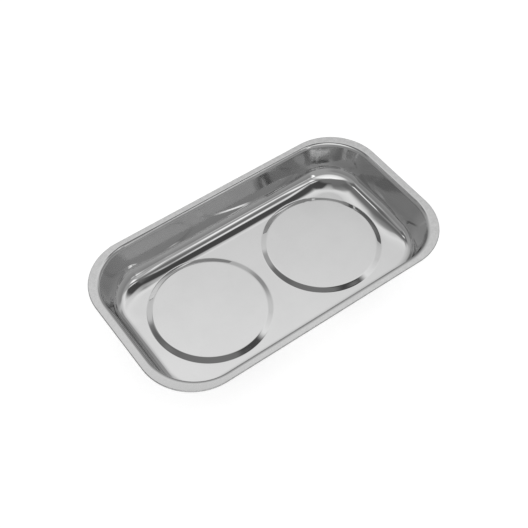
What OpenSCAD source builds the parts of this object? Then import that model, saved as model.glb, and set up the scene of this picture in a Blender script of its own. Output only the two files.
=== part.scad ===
// Magnetic parts tray: a drawn stainless steel pan with a hemmed rim, carried on two
// rubber-booted pot magnets that are bonded into round seats pressed up in its floor.
// Millimetres, +Z up. The origin lies on the bench, midway between the two magnets.

/* [Magnets] */
// Outer diameter of the ferrite ring
magnet_d = 67.6; // [50:0.2:90]
// Bore of the ferrite ring
magnet_bore = 30; // [12:0.5:40]
// Thickness of the ferrite ring
magnet_t = 8; // [5:0.5:15]
// Edge chamfer of the ferrite ring
magnet_chamfer = 0.5; // [0.2:0.1:1]
// Radial gap between the ferrite ring and the cup wall
magnet_gap = 1.5; // [1:0.1:4]
// Height of the spacer ring that keeps that gap
spacer_h = 4; // [2:0.5:5]
// Radial play of the spacer ring on either side
spacer_clear = 0.05; // [0.02:0.01:0.2]
// Sheet thickness of the steel cup
cup_t = 1.2; // [0.8:0.1:2]
// Inside corner radius of the steel cup
cup_corner_r = 0.8; // [0.3:0.1:1.5]

/* [Rubber boots] */
// Wall thickness of the boot
boot_wall = 2.4; // [1.5:0.1:4]
// Thickness of the boot's sole
boot_sole = 2.2; // [1.6:0.1:4]
// How far the boot's lip reaches in over the cup
boot_lip = 2.2; // [1:0.1:5]
// Corner radius between the boot's sole and its side
boot_edge_r = 1.4; // [0.5:0.1:2]
// Radial play between the boot and the cup
boot_clear = 0.1; // [0.02:0.02:0.3]
// Number of grip grooves in the sole
groove_n = 4; // [1:1:6]
// Width of a grip groove
groove_w = 1.2; // [0.6:0.1:2]
// Depth of a grip groove
groove_depth = 0.7; // [0.3:0.1:1.2]
// Distance from one grip groove to the next
groove_pitch = 5; // [3:0.5:6]
// Distance from the boot's side to the outermost groove
groove_inset = 6; // [3:0.5:10]

/* [Bond pads] */
// Thickness of the foam bond pad
bond_t = 0.8; // [0.4:0.1:1.5]
// Radial gap between the bond pad and the boot's lip
bond_clear = 0.3; // [0.1:0.1:1]

/* [Seats] */
// Radial gap between a boot and the flat of its seat
seat_clear = 1.2; // [0.5:0.1:4]
// Height of a seat above the floor
seat_h = 0.65; // [0.4:0.05:1.5]
// Radial width of the step around a seat
seat_step_w = 3.8; // [3:0.1:8]
// Gap between the two seats' steps
seat_gap = 10.2; // [4:0.2:40]

/* [Pan] */
// Sheet thickness of the pan
sheet_t = 0.6; // [0.4:0.05:1]
// Depth from the top of the rim to the floor
pan_depth = 27.1; // [20:0.1:45]
// Slope of the walls from the vertical, in degrees
wall_draft = 22.5; // [8:0.5:30]
// Inside radius between the floor and the walls
floor_fillet_r = 9; // [4:0.5:12]
// Flat floor between the seats' steps and the side fillets
floor_side_margin = 1.7; // [0.5:0.1:15]
// Flat floor between the seats' steps and the end fillets
floor_end_margin = 3.1; // [0.5:0.1:30]
// Corner radius of the flat floor
floor_corner_r = 19.7; // [14:0.1:40]

/* [Rim] */
// Radius of the bend from the walls to the rim
rim_bend_r = 2.8; // [1.5:0.1:5]
// Flat width of the rim along the sides
rim_side_w = 3.7; // [3.4:0.1:12]
// Flat width of the rim along the ends
rim_end_w = 4.7; // [3.4:0.1:12]
// Flat width of the rim across the corners
rim_corner_w = 5.7; // [4.5:0.1:8]
// Width of the hem that is folded under the rim
hem_w = 2.4; // [1.8:0.1:3]
// Gap left inside the folded hem
hem_gap = 0.2; // [0.1:0.05:0.5]

/* [Hidden] */
$fn = 96;

// Overshoot of a cut past the face it opens
over = 1;

// Radii of the magnet base, from the ferrite ring outwards
magnet_r = magnet_d / 2;
cup_inner_r = magnet_r + magnet_gap;
cup_r = cup_inner_r + cup_t;
boot_pocket_r = cup_r + boot_clear;
boot_r = boot_pocket_r + boot_wall;
lip_r = cup_r - boot_lip;
bond_r = lip_r - bond_clear;
seat_r = boot_r + seat_clear;
seat_foot_r = seat_r + seat_step_w;
seat_x = seat_foot_r + seat_gap / 2;

// Heights, from the bench upwards
magnet_top = boot_sole + magnet_t;
cup_top = magnet_top + cup_t;
seat_under = cup_top + bond_t;
seat_top = seat_under + sheet_t;
floor_top = seat_top - seat_h;
rim_top = floor_top + pan_depth;

// A seat's step is a cone, and the sheet keeps its thickness where the floor bends into it
step_angle = atan(seat_h / seat_step_w);
step_shift = sheet_t * tan(step_angle / 2);

// Wall section: u runs outwards from the edge of the flat floor
wall_angle = 90 - wall_draft;
wall_len = (pan_depth - (floor_fillet_r + rim_bend_r) * (1 - cos(wall_angle))) / sin(wall_angle);
wall_run = (floor_fillet_r + rim_bend_r) * sin(wall_angle) + wall_len * cos(wall_angle);

// Half sizes and corner radii of the flat floor, of the mouth where the rim begins, and of the rim's edge
floor_hx = seat_x + seat_foot_r + floor_end_margin;
floor_hy = seat_foot_r + floor_side_margin;
mouth_hx = floor_hx + wall_run;
mouth_hy = floor_hy + wall_run;
mouth_corner_r = floor_corner_r + wall_run;
rim_hx = mouth_hx + rim_end_w;
rim_hy = mouth_hy + rim_side_w;
rim_corner_r = mouth_corner_r + (rim_end_w + rim_side_w - sqrt(2) * rim_corner_w) / (2 - sqrt(2));
hem_r = sheet_t + hem_gap / 2;

// The filled pan is a section carried round a core block, and the section reaches in past the block's faces
core_inset = floor_corner_r / 2;
tub_reach = floor_corner_r * 2 / 3;

echo(overall_length = 2 * rim_hx, overall_width = 2 * rim_hy, overall_height = rim_top);

// A rectangle with half sizes hx and hy and corners of radius r
module rounded_rectangle(hx, hy, r) {
    square([2 * hx, 2 * (hy - r)], center = true);
    square([2 * (hx - r), 2 * hy], center = true);
    for (sx = [-1, 1], sy = [-1, 1]) translate([sx * (hx - r), sy * (hy - r)]) circle(r);
}

// Half section of a disc of radius r and height h, with its upper edge rounded
module rounded_disc_section(r, h, edge_r) {
    square([r, h - edge_r]);
    square([r - edge_r, h]);
    translate([r - edge_r, h - edge_r]) circle(edge_r);
}

// Carries a section round a rounded rectangle: the section's X is measured outwards from the outline
module carry_round(hx, hy, r) {
    for (quarter = [0:3]) {
        at_end = quarter % 2 == 0;
        across = (at_end ? hx : hy) - r;
        along = (at_end ? hy : hx) - r;
        rotate(90 * quarter) translate([across, along, 0]) {
            rotate_extrude(angle = 90) translate([r, 0]) children();
            rotate([90, 0, 0]) linear_extrude(2 * along) translate([r, 0]) children();
        }
    }
}

// Section of the pan filled up to a height: grow is 0 for the inner face and the sheet for the outer face
module tub_section(grow, top) {
    fillet_r = floor_fillet_r + grow;
    fillet_centre = [0, floor_top + floor_fillet_r];
    bend_r = rim_bend_r - grow;
    bend_centre = [wall_run, rim_top - rim_bend_r];
    outward = [sin(wall_angle), -cos(wall_angle)];
    translate(fillet_centre) circle(fillet_r);
    difference() {
        polygon([
            [-tub_reach, floor_top - grow],
            [0, floor_top - grow],
            fillet_centre + fillet_r * outward,
            bend_centre - bend_r * outward,
            [wall_run, rim_top - grow],
            [wall_run, top],
            [-tub_reach, top]
        ]);
        translate(bend_centre) circle(bend_r);
    }
}

// The pan's inside or outside as a filled body
module tub(grow, top) {
    low = floor_top - grow;
    carry_round(floor_hx, floor_hy, floor_corner_r) tub_section(grow, top);
    translate([0, 0, (low + top) / 2])
        cube([2 * (floor_hx - core_inset), 2 * (floor_hy - core_inset), top - low], center = true);
}

// Section of the hem: the rim's edge rolled down and folded back under it
module hem_section() {
    translate([0, rim_top - hem_r]) difference() {
        union() {
            translate([-hem_w, -hem_r]) square([hem_w - hem_r, 2 * hem_r]);
            translate([-hem_r, 0]) circle(hem_r);
        }
        translate([-hem_w - over, -hem_gap / 2]) square([hem_w - hem_r + over, hem_gap]);
        translate([-hem_r, 0]) circle(hem_gap / 2);
    }
}

// Places its children on both magnet axes
module on_both_seats() {
    for (side = [-1, 1]) translate([side * seat_x, 0, 0]) children();
}

module rim_plate() {
    inset = (hem_w + hem_r) / 2;
    translate([0, 0, rim_top - sheet_t]) linear_extrude(sheet_t)
        rounded_rectangle(rim_hx - inset, rim_hy - inset, rim_corner_r - inset);
}

module tray_pan() color("gainsboro") difference() {
    union() {
        tub(sheet_t, rim_top);
        rim_plate();
        carry_round(rim_hx, rim_hy, rim_corner_r) hem_section();
    }
    difference() {
        tub(0, rim_top + over);
        on_both_seats() translate([0, 0, floor_top]) cylinder(h = seat_h, r1 = seat_foot_r, r2 = seat_r);
    }
    on_both_seats() translate([0, 0, floor_top - sheet_t])
        cylinder(h = seat_h, r1 = seat_foot_r - step_shift, r2 = seat_r - step_shift);
}

module bond_pad() color("white") translate([0, 0, cup_top]) cylinder(h = bond_t, r = bond_r);

// Steel cup that opens downwards
module magnet_cup() color("lightslategray") translate([0, 0, boot_sole]) rotate_extrude() difference() {
    rounded_disc_section(cup_r, magnet_t + cup_t, cup_corner_r + cup_t);
    rounded_disc_section(cup_inner_r, magnet_t, cup_corner_r);
}

module ferrite_ring() color("dimgray") translate([0, 0, boot_sole]) rotate_extrude() polygon([
    [magnet_bore / 2, magnet_chamfer],
    [magnet_bore / 2 + magnet_chamfer, 0],
    [magnet_r - magnet_chamfer, 0],
    [magnet_r, magnet_chamfer],
    [magnet_r, magnet_t - magnet_chamfer],
    [magnet_r - magnet_chamfer, magnet_t],
    [magnet_bore / 2 + magnet_chamfer, magnet_t],
    [magnet_bore / 2, magnet_t - magnet_chamfer]
]);

module spacer_ring() color("ivory") translate([0, 0, boot_sole]) difference() {
    cylinder(h = spacer_h, r = cup_inner_r - spacer_clear);
    translate([0, 0, -over]) cylinder(h = spacer_h + 2 * over, r = magnet_r + spacer_clear);
}

// Rubber boot: a grooved sole, a side that covers the cup, and a lip that snaps over it
module rubber_boot() color("black") rotate_extrude() difference() {
    translate([0, seat_under]) mirror([0, 1]) rounded_disc_section(boot_r, seat_under, boot_edge_r);
    translate([0, boot_sole]) square([boot_pocket_r, cup_top - boot_sole]);
    translate([0, boot_sole]) square([lip_r, seat_under - boot_sole + over]);
    for (i = [0:groove_n - 1]) {
        groove_inner_r = boot_r - groove_inset - i * groove_pitch - groove_w;
        translate([groove_inner_r, -over]) square([groove_w, groove_depth + over]);
    }
}

module left() translate([-seat_x, 0, 0]) children();
module right() translate([seat_x, 0, 0]) children();

tray_pan();
left() bond_pad();  // left_bond_pad
left() magnet_cup();  // left_magnet_cup
left() ferrite_ring();  // left_ferrite_ring
left() spacer_ring();  // left_spacer_ring
left() rubber_boot();  // left_rubber_boot
right() bond_pad();  // right_bond_pad
right() magnet_cup();  // right_magnet_cup
right() ferrite_ring();  // right_ferrite_ring
right() spacer_ring();  // right_spacer_ring
right() rubber_boot();  // right_rubber_boot
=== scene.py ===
"""Looks of the magnetic parts tray: the pressed steel pan, its rubber-booted magnets and a plain studio.

Metres, +Z up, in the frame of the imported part. The tray's length runs along X.
"""

import math
from collections import namedtuple

import bpy
import numpy as np
from mathutils import Matrix, Vector


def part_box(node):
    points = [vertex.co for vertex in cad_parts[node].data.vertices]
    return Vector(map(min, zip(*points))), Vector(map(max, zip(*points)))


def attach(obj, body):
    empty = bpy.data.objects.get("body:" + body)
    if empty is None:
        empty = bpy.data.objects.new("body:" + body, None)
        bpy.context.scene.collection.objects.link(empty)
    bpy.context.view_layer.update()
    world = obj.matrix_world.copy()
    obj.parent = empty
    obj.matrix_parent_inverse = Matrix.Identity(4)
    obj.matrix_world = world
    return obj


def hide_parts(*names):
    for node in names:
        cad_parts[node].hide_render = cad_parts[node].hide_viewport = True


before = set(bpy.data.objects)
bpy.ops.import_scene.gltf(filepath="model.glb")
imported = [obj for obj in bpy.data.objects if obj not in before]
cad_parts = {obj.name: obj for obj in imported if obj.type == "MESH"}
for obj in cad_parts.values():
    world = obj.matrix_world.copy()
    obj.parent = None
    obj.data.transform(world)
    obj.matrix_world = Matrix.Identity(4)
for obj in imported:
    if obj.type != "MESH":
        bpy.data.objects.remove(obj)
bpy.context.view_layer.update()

# Sizes of the pan, in metres. What the frame holds is read from it.
MM = 0.001
SHEET = 0.6 * MM
FOOT_SLOPE = math.radians(75.7)
MID_SLOPE = math.radians(71.2)
MID_HEIGHT = 16.0 * MM
TOP_SLOPE = math.radians(71.4)
RIM_BEND_R = 3.3 * MM
MOUTH_CORNER_R = 38.8 * MM
RIM_END_W = 4.7 * MM
RIM_SIDE_W = 3.7 * MM
RIM_CORNER_W = 5.7 * MM
HEM_W = 2.4 * MM
HEM_GAP = 0.2 * MM
SEAT_CLEAR = 0.4 * MM
SEAT_STEP_W = 5.3 * MM
SEAT_TOP_EASE = 1.7 * MM
SEAT_FOOT_EASE = 1.2 * MM
SEAT_H = 0.92 * MM
# The floor's mesh ends and the wall's begins at a border that passes the seats' feet at this distance.
BORDER_GAP = 0.6 * MM

pan_low, pan_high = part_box("tray_pan")
boot_low, boot_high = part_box("right_rubber_boot")
cup_low, cup_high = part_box("right_magnet_cup")
RIM_TOP = pan_high.z
RIM_HX = pan_high.x
RIM_HY = pan_high.y
MOUTH_HX = RIM_HX - RIM_END_W
MOUTH_HY = RIM_HY - RIM_SIDE_W
# How much rounder the rim's corners are than the mouth's, so that the rim has its corner width there
RIM_CORNER_GROWTH = (RIM_END_W + RIM_SIDE_W - math.sqrt(2) * RIM_CORNER_W) / (2 - math.sqrt(2))
RIM_CORNER_R = MOUTH_CORNER_R + RIM_CORNER_GROWTH
HEM_R = SHEET + HEM_GAP / 2
SEAT_X = (boot_low.x + boot_high.x) / 2
BOOT_R = (boot_high.x - boot_low.x) / 2
BOOT_TOP = boot_high.z
SEAT_TOP = BOOT_TOP + SHEET
FLOOR_TOP = SEAT_TOP - SEAT_H
PAN_DEPTH = RIM_TOP - FLOOR_TOP
SEAT_R = BOOT_R + SEAT_CLEAR
SEAT_FOOT_R = SEAT_R + SEAT_STEP_W

# How finely the pan's mesh is cut: segments of half its outline, of its middle line and of its section, where
# the section's are those of the lead, fillet, lower wall, upper wall and bend. Rings on the floor crowd
# towards its border, and points that agree to within the weld are one point.
LONG_SEGMENTS = 44
CORNER_SEGMENTS = 36
END_SEGMENTS = 28
MIDDLE_SEGMENTS = 60
SEAT_RINGS = 7
STEP_SEGMENTS = 16
FLOOR_RINGS = 17
RING_CROWDING = 1.4
SECTION_SEGMENTS = (8, 28, 5, 6, 12)
RIM_SEGMENTS = 5
HEM_SEGMENTS = 12
WELD = 0.001 * MM

# Steps in which curves are worked out, and the reach over which the pan's slope is measured
SECTION_STEP = 0.02 * MM
SEAT_SAMPLES = 400
SLOPE_REACH = 0.03 * MM
ARC_STEP = math.radians(18)

# How the floor turns up into the wall: it rises gently over the lead's length up to the lead's slope, and
# there the fillet takes over.
Turn = namedtuple("Turn", "lead_len lead_slope lead_power fillet_r")
SIDE_TURN = Turn(lead_len=10.8 * MM, lead_slope=math.radians(23.8), lead_power=0.72, fillet_r=8.8 * MM)
END_TURN = Turn(lead_len=11.6 * MM, lead_slope=math.radians(17.5), lead_power=0.8, fillet_r=11.5 * MM)
NEAR_TURN = Turn(lead_len=1.0 * MM, lead_slope=math.radians(3), lead_power=1.0, fillet_r=7.8 * MM)

# Where one turn fades into another. The long side's turn reaches along the middle of the +Y side. The share
# of the far turns grows with a point's place towards +X and +Y, as shares of half the mouth, X with a weight.
SIDE_FROM_X = 80.0 * MM
SIDE_FULL_X = 50.0 * MM
FAR_X_WEIGHT = 0.55
FAR_FROM = -0.2
FAR_FADE = 0.7

# Samples of the pan's inner face: run out to the mouth, height, length along it, and where its parts end.
Section = namedtuple("Section", "out height along ends")


def wall_section(turn):
    """The pan's inner face from the flat floor to the mouth.

    The wall is steepest at its foot and leans out a little as it rises, and the rim's bend brings it back to
    level. The parts are the lead, fillet, lower wall, upper wall and bend.
    """
    step = SECTION_STEP

    def stretch(low, high, rise):
        length = rise / math.sin((low + high) / 2)
        return np.linspace(low, high, round(length / step))

    lead = turn.lead_slope * np.linspace(0, 1, round(turn.lead_len / step)) ** turn.lead_power
    fillet = np.arange(turn.lead_slope, FOOT_SLOPE, step / turn.fillet_r)
    foot_height = step * (np.sin(lead).sum() + np.sin(fillet).sum())
    bend = np.arange(TOP_SLOPE, 0, -step / RIM_BEND_R)
    bend_rise = step * np.sin(bend).sum()
    lower = stretch(FOOT_SLOPE, MID_SLOPE, MID_HEIGHT - foot_height)
    upper = stretch(MID_SLOPE, TOP_SLOPE, PAN_DEPTH - bend_rise - MID_HEIGHT)
    parts = (lead, fillet, lower, upper, bend)
    slope = np.concatenate(parts)
    out = np.concatenate([[0], np.cumsum(np.cos(slope))]) * step
    height = np.concatenate([[0], np.cumsum(np.sin(slope))]) * step
    ends = np.cumsum([len(part) for part in parts]) * step
    return Section(out - out[-1], height * PAN_DEPTH / height[-1], np.arange(len(out)) * step, ends)


SIDE_SECTION = wall_section(SIDE_TURN)
END_SECTION = wall_section(END_TURN)
NEAR_SECTION = wall_section(NEAR_TURN)
BORDER_OUT = SEAT_FOOT_R + BORDER_GAP - MOUTH_HY


def seat_section():
    """A seat's step as samples of radius and height over the floor: a cone with its two edges eased."""
    run = np.linspace(0, SEAT_STEP_W, SEAT_SAMPLES)
    slope = np.clip(np.minimum(run / SEAT_TOP_EASE, (SEAT_STEP_W - run) / SEAT_FOOT_EASE), 0, 1)
    slope = slope * slope * (3 - 2 * slope)
    drop = np.concatenate([[0], np.cumsum(slope[1:] + slope[:-1])])
    return SEAT_R + run, SEAT_H * (1 - drop / drop[-1])


STEP_R, STEP_Z = seat_section()


def outside_mouth(x, y):
    """Distance outside the outline of the pan's mouth, less than zero inside it."""
    ax = np.abs(x) - (MOUTH_HX - MOUTH_CORNER_R)
    ay = np.abs(y) - (MOUTH_HY - MOUTH_CORNER_R)
    reach = np.hypot(np.maximum(ax, 0), np.maximum(ay, 0))
    return reach + np.minimum(np.maximum(ax, ay), 0) - MOUTH_CORNER_R


def eased(share):
    """A share held between 0 and 1, with soft ends."""
    share = np.clip(share, 0, 1)
    return share * share * (3 - 2 * share)


def pan_height(x, y):
    """Height of the pan's inner face above the bench.

    Along the +Y side the long side's section fades into that of the corners and the +X end. On the -Y side
    and at the -X end the floor stays flat closer to the wall, and the change lies over the corners between.
    """
    out = outside_mouth(x, y)
    sections = (SIDE_SECTION, END_SECTION, NEAR_SECTION)
    side, end, near = (np.interp(out, part.out, part.height) for part in sections)
    side_share = eased((SIDE_FROM_X - np.abs(x)) / (SIDE_FROM_X - SIDE_FULL_X))
    far_share = eased((FAR_X_WEIGHT * x / MOUTH_HX + y / MOUTH_HY - FAR_FROM) / FAR_FADE)
    far = end + (side - end) * side_share
    seat = np.interp(np.hypot(np.abs(x) - SEAT_X, y), STEP_R, STEP_Z)
    return FLOOR_TOP + near + (far - near) * far_share + seat


def pan_normal(x, y):
    """Upward normal of the pan's inner face."""
    reach = SLOPE_REACH
    slope_x = (pan_height(x + reach, y) - pan_height(x - reach, y)) / (2 * reach)
    slope_y = (pan_height(x, y + reach) - pan_height(x, y - reach)) / (2 * reach)
    normal = np.stack([-slope_x, -slope_y, np.ones_like(slope_x)], -1)
    return normal / np.linalg.norm(normal, axis=-1, keepdims=True)


def half_outline(hx, hy, r):
    """Points of the +X half of a rounded rectangle, from -Y round to +Y, and their outward directions."""
    points, directions = [], []

    def straight(start, end, direction, count):
        for i in range(count):
            points.append([start[k] + (end[k] - start[k]) * i / count for k in (0, 1)])
            directions.append(direction)

    def corner(centre, first):
        for i in range(CORNER_SEGMENTS):
            a = first + math.pi / 2 * i / CORNER_SEGMENTS
            directions.append([math.cos(a), math.sin(a)])
            points.append([centre[k] + r * directions[-1][k] for k in (0, 1)])

    cx, cy = hx - r, hy - r
    straight((0, -hy), (cx, -hy), [0, -1], LONG_SEGMENTS)
    corner((cx, -cy), -math.pi / 2)
    straight((hx, -cy), (hx, cy), [1, 0], END_SEGMENTS)
    corner((cx, cy), 0)
    straight((cx, hy), (0, hy), [0, 1], LONG_SEGMENTS)
    points.append([0, hy])
    directions.append([0, 1])
    return np.array(points), np.array(directions)


def wall_stations():
    """Distances outside the mouth at which the wall is cut, evenly along each part of its section."""
    section = SIDE_SECTION
    start = np.interp(BORDER_OUT, section.out, section.along)
    along = []
    for end, count in zip(section.ends, SECTION_SEGMENTS):
        along += list(np.linspace(start, end, count + 1)[1:])
        start = end
    return np.interp(along, section.along, section.out)


def pan_ring(xy, side):
    """A ring of points on the pan's inner face with their normals, given as for the +X half."""
    x, y = side * xy[:, 0], xy[:, 1]
    return np.column_stack([xy, pan_height(x, y)]), pan_normal(x, y) * [side, 1, 1]


def floor_rings(border, side):
    """Closed rings from the middle of a seat out to a border round half of the floor."""
    centre = np.array([SEAT_X, 0])
    ray = border - centre
    ray = ray / np.linalg.norm(ray, axis=1, keepdims=True)
    radii = list(SEAT_R * np.sin(np.linspace(0, math.pi / 2, SEAT_RINGS + 1)[1:-1]))
    radii += list(np.linspace(SEAT_R, SEAT_FOOT_R, STEP_SEGMENTS + 1))
    rings = [centre + r * ray for r in radii]
    foot = rings[-1]
    for i in range(1, FLOOR_RINGS + 1):
        share = 1 - (1 - i / FLOOR_RINGS) ** RING_CROWDING
        rings.append(foot + (border - foot) * share)
    return [pan_ring(xy, side) for xy in rings]


def rim_rings(mouth):
    """Rings from the mouth across the flat rim, round the hem's roll and back under it."""
    rim, rim_out = half_outline(RIM_HX, RIM_HY, RIM_CORNER_R)
    up = np.column_stack([np.zeros_like(rim), np.ones(len(rim))])

    def level(xy, z):
        return np.column_stack([xy, np.full(len(xy), z)])

    rings = []
    for i in range(1, RIM_SEGMENTS + 1):
        rings.append((level(mouth + (rim - HEM_R * rim_out - mouth) * i / RIM_SEGMENTS, RIM_TOP), up))
    for i in range(1, HEM_SEGMENTS + 1):
        a = math.pi * i / HEM_SEGMENTS
        normal = level(rim_out * math.sin(a), math.cos(a))
        rolled = rim - HEM_R * (1 - math.sin(a)) * rim_out
        rings.append((level(rolled, RIM_TOP - HEM_R * (1 - math.cos(a))), normal))
    for inset in ((HEM_W + HEM_R) / 2, HEM_W):
        rings.append((level(rim - inset * rim_out, RIM_TOP - 2 * HEM_R), -up))
    return rings


def pan_half(side):
    """One half of the pan's upper skin: closed rings on the floor, open ones up the wall and rim."""
    size = (MOUTH_HX + BORDER_OUT, MOUTH_HY + BORDER_OUT, MOUTH_CORNER_R + BORDER_OUT)
    edge, edge_out = half_outline(*size)
    middle_y = edge[-1][1] * np.cos(np.linspace(0, math.pi, MIDDLE_SEGMENTS + 1)[1:-1])
    middle = np.column_stack([np.zeros_like(middle_y), middle_y])
    floor = floor_rings(np.concatenate([edge, middle]), side)
    wall = [pan_ring(edge + (out - BORDER_OUT) * edge_out, side) for out in wall_stations()]
    return floor, wall, rim_rings(wall[-1][0][:, :2])


# Places of the pan's finishes in its list of materials
INSIDE, RIM, OUTSIDE = 0, 1, 2


class MeshParts:
    """Points and faces that grow ring by ring, with a finish for each face. Points that meet are shared."""

    def __init__(self):
        self.points = []
        self.normals = []
        self.faces = []
        self.finish = []
        self.known = {}

    def add(self, points, normals=None):
        """The numbers of a ring's points, which are new or already known."""
        ids = []
        for i, point in enumerate(points):
            key = tuple(round(c / WELD) for c in point)
            if key not in self.known:
                self.known[key] = len(self.points)
                self.points.append(tuple(point))
                if normals is not None:
                    self.normals.append(tuple(normals[i]))
            ids.append(self.known[key])
        return ids

    def join(self, a, b, closed, finish, flip):
        """Faces between two rings with as many points."""
        count = len(a)
        for i in range(count if closed else count - 1):
            k = (i + 1) % count
            quad = [a[i], b[i], b[k], a[k]]
            self.faces.append(quad[::-1] if flip else quad)
            self.finish.append(finish)

    def fan(self, ring, centre, finish, flip, normal=None):
        """Faces between a ring and its centre."""
        (middle,) = self.add([centre], normal and [normal])
        count = len(ring)
        for i in range(count):
            triangle = [middle, ring[i], ring[(i + 1) % count]]
            self.faces.append(triangle[::-1] if flip else triangle)
            self.finish.append(finish)


def add_skin(parts, side, sunk, flip):
    """One skin of one half of the pan: sunk is how deep it lies in the sheet. Returns its last ring."""
    floor, wall, rim = pan_half(side)
    mirror = np.array([side, 1, 1])
    facing = -mirror if sunk else mirror
    inner_finish = OUTSIDE if sunk else INSIDE

    def place(ring):
        points, normals = ring
        return parts.add((points - sunk * normals) * mirror, normals * facing)

    rings = [place(r) for r in floor]
    middle = (SEAT_X * side, 0, SEAT_TOP - sunk)
    parts.fan(rings[0], middle, inner_finish, flip, (0, 0, facing[2]))
    for a, b in zip(rings, rings[1:]):
        parts.join(a, b, True, inner_finish, flip)
    last = rings[-1][:len(wall[0][0])]
    for ring, finish in [(r, inner_finish) for r in wall] + [(r, RIM) for r in rim]:
        ids = place(ring)
        parts.join(last, ids, False, finish, flip)
        last = ids
    return last


def make_object(name, parts, materials):
    """A smooth mesh object from parts, with their own normals where they have any."""
    mesh = bpy.data.meshes.new(name)
    mesh.from_pydata(parts.points, [], parts.faces)
    for material in materials:
        mesh.materials.append(material)
    mesh.polygons.foreach_set("material_index", parts.finish)
    mesh.polygons.foreach_set("use_smooth", [True] * len(mesh.polygons))
    if parts.normals:
        mesh.normals_split_custom_set_from_vertices(parts.normals)
    piece = bpy.data.objects.new(name, mesh)
    bpy.context.scene.collection.objects.link(piece)
    return piece


def make_pan(materials):
    """The pressed pan: an upper and a lower skin for each half, closed at the end of the hem."""
    parts = MeshParts()
    for side in (1, -1):
        upper = add_skin(parts, side, 0.0, side < 0)
        lower = add_skin(parts, side, SHEET, side > 0)
        parts.join(upper, lower, False, RIM, side < 0)
    return make_object("tray_pan_pressed", parts, materials)


# Rubber boots. The pocket is that of the magnet cup in the frame.
BOOT_SEGMENTS = 144
GROOVE_COUNT = 4
GROOVE_W = 1.2 * MM
GROOVE_DEPTH = 0.7 * MM
GROOVE_PITCH = 5.0 * MM
GROOVE_INSET = 6.0 * MM
GROOVE_EDGE_R = 0.2 * MM
BOOT_EDGE_R = 1.4 * MM
LIP_EDGE_R = 0.35 * MM
LIP_W = 4.7 * MM
BOOT_HUB_R = 2.0 * MM
SOLE_T = cup_low.z
POCKET_TOP = cup_high.z
POCKET_R = (cup_high.x - cup_low.x) / 2


def rounded(corners):
    """A section's corners (r, z, radius) with each one rounded by a short arc."""
    section = []
    count = len(corners)
    for i, (r, z, radius) in enumerate(corners):
        here = Vector((r, z))
        if radius == 0:
            section.append(here)
            continue
        before = Vector(corners[i - 1][:2]) - here
        after = Vector(corners[(i + 1) % count][:2]) - here
        before.normalize()
        after.normalize()
        half = before.angle(after) / 2
        centre = here + (before + after).normalized() * radius / math.sin(half)
        first = here + before * radius / math.tan(half) - centre
        last = here + after * radius / math.tan(half) - centre
        turn = first.angle_signed(last)
        steps = max(2, int(abs(turn) / ARC_STEP))
        for k in range(steps + 1):
            a = -turn * k / steps
            section.append(centre + Matrix.Rotation(a, 2) @ first)
    return section


def make_boot(name, centre_x, material):
    """A boot turned from one section: grooved sole, rounded side, lip over the cup, and the cup's pocket."""
    corners = [(BOOT_HUB_R, 0, 0)]
    for i in range(GROOVE_COUNT - 1, -1, -1):
        outer = BOOT_R - GROOVE_INSET - i * GROOVE_PITCH
        inner = outer - GROOVE_W
        corners += [
            (inner, 0, GROOVE_EDGE_R),
            (inner, GROOVE_DEPTH, GROOVE_EDGE_R),
            (outer, GROOVE_DEPTH, GROOVE_EDGE_R),
            (outer, 0, GROOVE_EDGE_R),
        ]
    corners += [
        (BOOT_R, 0, BOOT_EDGE_R),
        (BOOT_R, BOOT_TOP, LIP_EDGE_R),
        (BOOT_R - LIP_W, BOOT_TOP, LIP_EDGE_R),
        (BOOT_R - LIP_W, POCKET_TOP, 0),
        (POCKET_R, POCKET_TOP, 0),
        (POCKET_R, SOLE_T, 0),
        (BOOT_HUB_R, SOLE_T, 0),
    ]
    parts = MeshParts()
    angles = [2 * math.pi * i / BOOT_SEGMENTS for i in range(BOOT_SEGMENTS)]
    rings = []
    for p in rounded(corners):
        rings.append(parts.add([(centre_x + p.x * math.cos(a), p.x * math.sin(a), p.y) for a in angles]))
    for a, b in zip(rings, rings[1:]):
        parts.join(a, b, True, 0, True)
    parts.fan(rings[0], (centre_x, 0, 0), 0, True)
    parts.fan(rings[-1], (centre_x, 0, SOLE_T), 0, False)
    return make_object(name, parts, [material])


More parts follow.
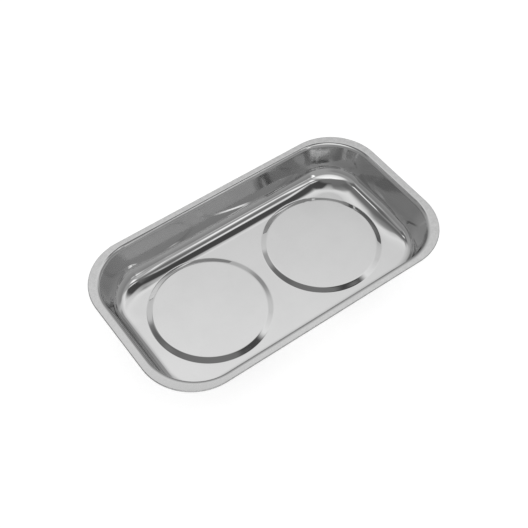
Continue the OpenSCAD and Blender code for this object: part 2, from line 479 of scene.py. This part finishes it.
# Materials
class Nodes:
    """A material or world with helpers that add and link nodes."""

    def __init__(self, owner):
        owner.use_nodes = True
        self.tree = owner.node_tree
        self.tree.nodes.clear()

    def add(self, kind, inputs=None, **settings):
        made = self.tree.nodes.new(kind)
        for key, value in settings.items():
            setattr(made, key, value)
        for key, value in (inputs or {}).items():
            if isinstance(value, bpy.types.NodeSocket):
                self.tree.links.new(value, made.inputs[key])
            else:
                made.inputs[key].default_value = value
        return made

    def math(self, operation, a, b=0.0, c=0.0):
        return self.add("ShaderNodeMath", {0: a, 1: b, 2: c}, operation=operation).outputs[0]

    def ramp(self, value, low, high, to_low=0.0, to_high=1.0, kind="SMOOTHSTEP"):
        inputs = {"Value": value, "From Min": low, "From Max": high, "To Min": to_low, "To Max": to_high}
        return self.add("ShaderNodeMapRange", inputs, interpolation_type=kind).outputs["Result"]

    def edge(self, value, at, soft, before, after):
        """A soft change from before to after where the value passes a place."""
        return self.ramp(value, at - soft, at + soft, before, after)

    def noise(self, vector, scale, detail, roughness):
        inputs = {"Vector": vector, "Scale": scale, "Detail": detail, "Roughness": roughness}
        return self.add("ShaderNodeTexNoise", inputs).outputs["Fac"]

    def stretched(self, vector, x, y, z):
        return self.add("ShaderNodeMapping", {"Vector": vector, "Scale": (x, y, z)}).outputs["Vector"]

    def bump(self, height, strength, distance, normal=None):
        inputs = {"Height": height, "Strength": strength, "Distance": distance}
        if normal is not None:
            inputs["Normal"] = normal
        return self.add("ShaderNodeBump", inputs).outputs["Normal"]

    def blend(self, share, a, b):
        """A number that goes from a to b."""
        return self.add("ShaderNodeMix", {0: share, 2: a, 3: b}, data_type="FLOAT").outputs[0]

    def tint(self, share, a, b):
        """A colour that goes from a to b."""
        return self.add("ShaderNodeMix", {0: share, 6: a, 7: b}, data_type="RGBA").outputs[2]


def grey(value):
    """An opaque grey."""
    return (value, value, value, 1)


def new_material(name):
    """A material with its nodes, and the place on the object that its noises start from."""
    material = bpy.data.materials.new(name)
    nodes = Nodes(material)
    place = nodes.add("ShaderNodeTexCoord").outputs["Object"]
    return material, nodes, place


def finish_material(nodes, inputs):
    """Ends a material with one surface shader."""
    shader = nodes.add("ShaderNodeBsdfPrincipled", inputs)
    nodes.add("ShaderNodeOutputMaterial", {"Surface": shader.outputs["BSDF"]})


# Ranges of a noise that the finishes spread over their tones and roughnesses
SPREAD = (0.3, 0.7)
BLOTCH_RANGE = (0.35, 0.68)
DUST_RANGE = (0.45, 0.8)
MOTTLE_RANGE = (0.35, 0.65)

# Tones and roughnesses of the finishes, each from low to high
FLOOR_TONES = (grey(0.67), grey(0.69))
# The walls' tones lie below the floor's: painted shade for the darker light the walls reflect.
WALL_PAINTED_SHADE_TONES = (grey(0.62), grey(0.65))
RIM_TONES = (grey(0.61), grey(0.69))
OUTSIDE_TONES = (grey(0.57), grey(0.63))
RUBBER_TONES = (grey(0.018), grey(0.035))
ZINC_TONES = (grey(0.48), (0.56, 0.57, 0.6, 1))
FERRITE_TONES = (grey(0.05), grey(0.09))
PLASTIC_TONES = ((0.74, 0.71, 0.64, 1), (0.82, 0.8, 0.74, 1))
FOAM_TONES = (grey(0.72), grey(0.84))
POLISH_ROUGH = (0.02, 0.035)
POLISH_CLOUDS = (0.0, 0.02)
WALL_DULLING = 0.05
RIM_ROUGH = (0.13, 0.20)
OUTSIDE_ROUGH = (0.16, 0.26)
OUTSIDE_CLOUDS = (0.0, 0.05)
RUBBER_ROUGH = (0.55, 0.75)
INNER_ROUGH_SPREAD = 0.08

# The pan's inside gets rougher between these heights, and darker in tone there as painted shade.
WALL_FROM = FLOOR_TOP + 9.0 * MM
WALL_FULL = FLOOR_TOP + 15.0 * MM


def polished_steel():
    """Mirror floor and fillets, and walls that drawing has left a little rougher, with painted shade
    darkening their tone.
    """
    material, nodes, place = new_material("steel_polished")
    height = nodes.add("ShaderNodeSeparateXYZ", {"Vector": place}).outputs["Z"]
    wall = nodes.ramp(height, WALL_FROM, WALL_FULL)
    cloud = nodes.noise(place, scale=45, detail=3, roughness=0.55)
    grain = nodes.noise(nodes.stretched(place, 1, 6, 1), scale=900, detail=2, roughness=0.6)
    floor_colour = nodes.tint(nodes.ramp(cloud, *SPREAD), *FLOOR_TONES)
    # The walls' darker tone, faded in with height, is painted shade; their added roughness is real dulling.
    wall_painted_shade_colour = nodes.tint(nodes.ramp(cloud, *SPREAD), *WALL_PAINTED_SHADE_TONES)
    colour = nodes.tint(wall, floor_colour, wall_painted_shade_colour)
    fine = nodes.ramp(grain, *SPREAD, *POLISH_ROUGH)
    rough = nodes.math("ADD", fine, nodes.ramp(cloud, *SPREAD, *POLISH_CLOUDS))
    rough = nodes.math("ADD", rough, nodes.math("MULTIPLY", wall, WALL_DULLING))
    finish_material(nodes, {"Base Color": colour, "Metallic": 1.0, "Roughness": rough})
    return material


def rim_steel():
    """Satin rim with soft blotches."""
    material, nodes, place = new_material("steel_rim_satin")
    blotch = nodes.noise(place, scale=330, detail=4, roughness=0.6)
    fine = nodes.noise(place, scale=2200, detail=2, roughness=0.5)
    colour = nodes.tint(nodes.ramp(blotch, *BLOTCH_RANGE), *RIM_TONES)
    rough = nodes.ramp(blotch, *SPREAD, *RIM_ROUGH)
    uneven = nodes.bump(blotch, strength=0.06, distance=0.06 * MM)
    normal = nodes.bump(fine, strength=0.03, distance=0.03 * MM, normal=uneven)
    finish_material(nodes, {"Base Color": colour, "Metallic": 1.0, "Roughness": rough, "Normal": normal})
    return material


def outer_steel():
    """The pan's outside, with fine upright marks from drawing."""
    material, nodes, place = new_material("steel_outside")
    drawn = nodes.noise(nodes.stretched(place, 1, 1, 0.06), scale=700, detail=3, roughness=0.6)
    cloud = nodes.noise(place, scale=60, detail=3, roughness=0.5)
    colour = nodes.tint(nodes.ramp(cloud, *SPREAD), *OUTSIDE_TONES)
    marks = nodes.ramp(drawn, *SPREAD, *OUTSIDE_ROUGH)
    rough = nodes.math("ADD", marks, nodes.ramp(cloud, *SPREAD, *OUTSIDE_CLOUDS))
    normal = nodes.bump(drawn, strength=0.06, distance=0.03 * MM)
    finish_material(nodes, {"Base Color": colour, "Metallic": 1.0, "Roughness": rough, "Normal": normal})
    return material


def boot_rubber():
    """Dull black rubber with a little dust."""
    material, nodes, place = new_material("boot_rubber")
    fine = nodes.noise(place, scale=1600, detail=3, roughness=0.6)
    dust = nodes.noise(place, scale=120, detail=4, roughness=0.6)
    colour = nodes.tint(nodes.ramp(dust, *DUST_RANGE), *RUBBER_TONES)
    rough = nodes.ramp(dust, *SPREAD, *RUBBER_ROUGH)
    normal = nodes.bump(fine, strength=0.25, distance=0.05 * MM)
    finish_material(nodes, {"Base Color": colour, "Roughness": rough, "Normal": normal})
    return material


def inner_material(name, low, high, scale, roughness, metallic=0.0):
    """Finish of a piece that lies inside a boot: two tones of one colour, mottled."""
    material, nodes, place = new_material(name)
    mottle = nodes.noise(place, scale, detail=4, roughness=0.6)
    colour = nodes.tint(nodes.ramp(mottle, *MOTTLE_RANGE), low, high)
    rough = nodes.ramp(mottle, *SPREAD, roughness - INNER_ROUGH_SPREAD, roughness + INNER_ROUGH_SPREAD)
    normal = nodes.bump(mottle, strength=0.2, distance=0.05 * MM)
    inputs = {"Base Color": colour, "Metallic": metallic, "Roughness": rough, "Normal": normal}
    finish_material(nodes, inputs)
    return material


# Studio: a world of soft panels, each laid over those before it, and a plain pale floor. A panel has its
# azimuth from +Y towards +X, half its width, its lowest and highest elevation, and the softness of its sides
# and of its lower and upper edge, all in degrees. Then come its strengths at the lower and at the upper edge,
# or at the horizon and the zenith where it reaches past them.
Panel = namedtuple("Panel", "azimuth half_width low high side_soft edge_soft at_low at_high")
AMBIENT = 0.44
PANELS = {
    "ceiling": Panel(20, 100, 66, 120, 15, 6, 0.2, 0.24),
    "ceiling_left": Panel(351, 17, 59, 72, 8, 3, 0.22, 0.16),
    "left_dark": Panel(325, 24, 42, 62, 7, 4, 0.17, 0.17),
    "ceiling_dark": Panel(71, 26, 61, 75.5, 5, 2.5, 0.09, 0.07),
    "back": Panel(42, 55, -20, 49.5, 9, 2, 0.3, 0.80),
    "back_top": Panel(52.5, 44.5, 48, 62, 8, 3, 0.78, 1.08),
    "back_fade": Panel(44.5, 6.5, 57, 76, 4, 2, 1.0, 0.12),
    "back_low": Panel(62, 12, 12, 40, 4, 4, 0.34, 0.38),
    "overhead": Panel(218, 66, 56, 86, 12, 5, 1.0, 1.45),
    "sliver": Panel(97, 4.8, 65, 73.5, 4.5, 3, 1.2, 1.2),
    "gap": Panel(113.5, 8, 63, 76, 3, 4, 0.22, 0.2),
    "strip": Panel(129, 8.7, 58.5, 68, 5.8, 3.5, 1.4, 1.4),
    "streak": Panel(163, 6, 36, 50, 3, 3, 2.2, 2.2),
    "streak_left": Panel(149, 5, 37, 46, 3, 3, 2.2, 2.2),
    "left_top": Panel(330, 4.5, 52, 60.5, 3, 2.5, 1.2, 1.2),
    "left": Panel(307, 6, 32, 42.5, 4, 4, 0.65, 0.65),
    "low_left": Panel(268, 50, -20, 36, 15, 6, 0.39, 0.29),
    "low_right": Panel(125, 40, -20, 46, 6, 6, 0.45, 0.28),
}
HORIZON, ZENITH = 0, 90


def make_world():
    """The panels' light, which the camera itself sees as plain white."""
    world = bpy.data.worlds.new("studio")
    bpy.context.scene.world = world
    nodes = Nodes(world)
    ray = nodes.add("ShaderNodeTexCoord").outputs["Generated"]
    part = nodes.add("ShaderNodeSeparateXYZ", {"Vector": ray}).outputs
    elevation = nodes.math("DEGREES", nodes.math("ARCSINE", part["Z"]))
    azimuth = nodes.math("DEGREES", nodes.math("ARCTAN2", part["X"], part["Y"]))
    light = AMBIENT
    for panel in PANELS.values():
        off = nodes.math("WRAP", nodes.math("SUBTRACT", azimuth, panel.azimuth), 180, -180)
        off = nodes.math("ABSOLUTE", off)
        across = nodes.edge(off, panel.half_width, panel.side_soft, 1, 0)
        above = nodes.edge(elevation, panel.low, panel.edge_soft, 0, 1)
        below = nodes.edge(elevation, panel.high, panel.edge_soft, 1, 0)
        share = nodes.math("MULTIPLY", across, nodes.math("MULTIPLY", above, below))
        low, high = max(panel.low, HORIZON), min(panel.high, ZENITH)
        strength = nodes.ramp(elevation, low, high, panel.at_low, panel.at_high, "LINEAR")
        light = nodes.blend(share, light, strength)
    path = nodes.add("ShaderNodeLightPath").outputs
    shown = nodes.blend(path["Is Camera Ray"], light, 1.0)
    sky = nodes.add("ShaderNodeBackground", {"Color": grey(1), "Strength": shown})
    nodes.add("ShaderNodeOutputWorld", {"Surface": sky.outputs["Background"]})


STUDIO_FLOOR_HALF = 3.0
STUDIO_FLOOR_TONE = grey(0.62)
STUDIO_FLOOR_GLOW = 0.74


def make_floor():
    """A matt floor that keeps the tray's shadow, and glows only to the camera and in reflections."""
    material = bpy.data.materials.new("studio_floor")
    nodes = Nodes(material)
    path = nodes.add("ShaderNodeLightPath").outputs
    seen = nodes.math("MAXIMUM", path["Is Camera Ray"], path["Is Glossy Ray"])
    matt = nodes.add("ShaderNodeBsdfDiffuse", {"Color": STUDIO_FLOOR_TONE})
    strength = nodes.math("MULTIPLY", seen, STUDIO_FLOOR_GLOW)
    glow = nodes.add("ShaderNodeEmission", {"Strength": strength})
    both = nodes.add("ShaderNodeAddShader", {0: matt.outputs["BSDF"], 1: glow.outputs["Emission"]})
    nodes.add("ShaderNodeOutputMaterial", {"Surface": both.outputs["Shader"]})
    parts = MeshParts()
    corners = [(-1, -1), (1, -1), (1, 1), (-1, 1)]
    half = STUDIO_FLOOR_HALF
    parts.faces.append(parts.add([(x * half, y * half, 0) for x, y in corners]))
    parts.finish.append(0)
    make_object("studio_floor", parts, [material])


# Camera at the photograph's angle, fitted to the rim and the seats. The azimuth is from -Y towards +X.
CAMERA_AZIMUTH = math.radians(-36.09)
CAMERA_ELEVATION = math.radians(53.17)
CAMERA_DISTANCE = 680.4 * MM
CAMERA_TARGET = Vector((-8.01 * MM, -7.14 * MM, RIM_TOP))
CAMERA_LENS_MM = 67.65
SENSOR_MM = 36.0
CAMERA_CLIP = 10 * MM


def make_camera():
    """The camera, upright and aimed at its target."""
    data = bpy.data.cameras.new("camera")
    data.sensor_fit = "HORIZONTAL"
    data.sensor_width = SENSOR_MM
    data.lens = CAMERA_LENS_MM
    data.clip_start = CAMERA_CLIP
    camera = bpy.data.objects.new("camera", data)
    back = Vector((
        math.sin(CAMERA_AZIMUTH) * math.cos(CAMERA_ELEVATION),
        -math.cos(CAMERA_AZIMUTH) * math.cos(CAMERA_ELEVATION),
        math.sin(CAMERA_ELEVATION),
    ))
    camera.location = CAMERA_TARGET + back * CAMERA_DISTANCE
    camera.rotation_euler = back.to_track_quat("Z", "Y").to_euler()
    bpy.context.scene.collection.objects.link(camera)
    bpy.context.scene.camera = camera


pan = make_pan([polished_steel(), rim_steel(), outer_steel()])
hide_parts("tray_pan")
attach(pan, "root")

rubber = boot_rubber()
# Pieces inside the boots keep the shapes of the frame and get a finish.
INNER_FINISH = {
    "magnet_cup": inner_material("cup_zinc_plate", *ZINC_TONES, scale=260, roughness=0.38, metallic=1.0),
    "ferrite_ring": inner_material("ferrite", *FERRITE_TONES, scale=500, roughness=0.6),
    "spacer_ring": inner_material("spacer_plastic", *PLASTIC_TONES, scale=300, roughness=0.5),
    "bond_pad": inner_material("bond_foam", *FOAM_TONES, scale=1500, roughness=0.85),
}
for side, centre_x in (("left", -SEAT_X), ("right", SEAT_X)):
    boot = make_boot(side + "_rubber_boot_moulded", centre_x, rubber)
    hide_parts(side + "_rubber_boot")
    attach(boot, "root")
    for node, material in INNER_FINISH.items():
        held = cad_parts[f"{side}_{node}"]
        held.data.materials.clear()
        held.data.materials.append(material)

make_world()
make_floor()
make_camera()
bpy.context.scene.view_settings.view_transform = "Standard"
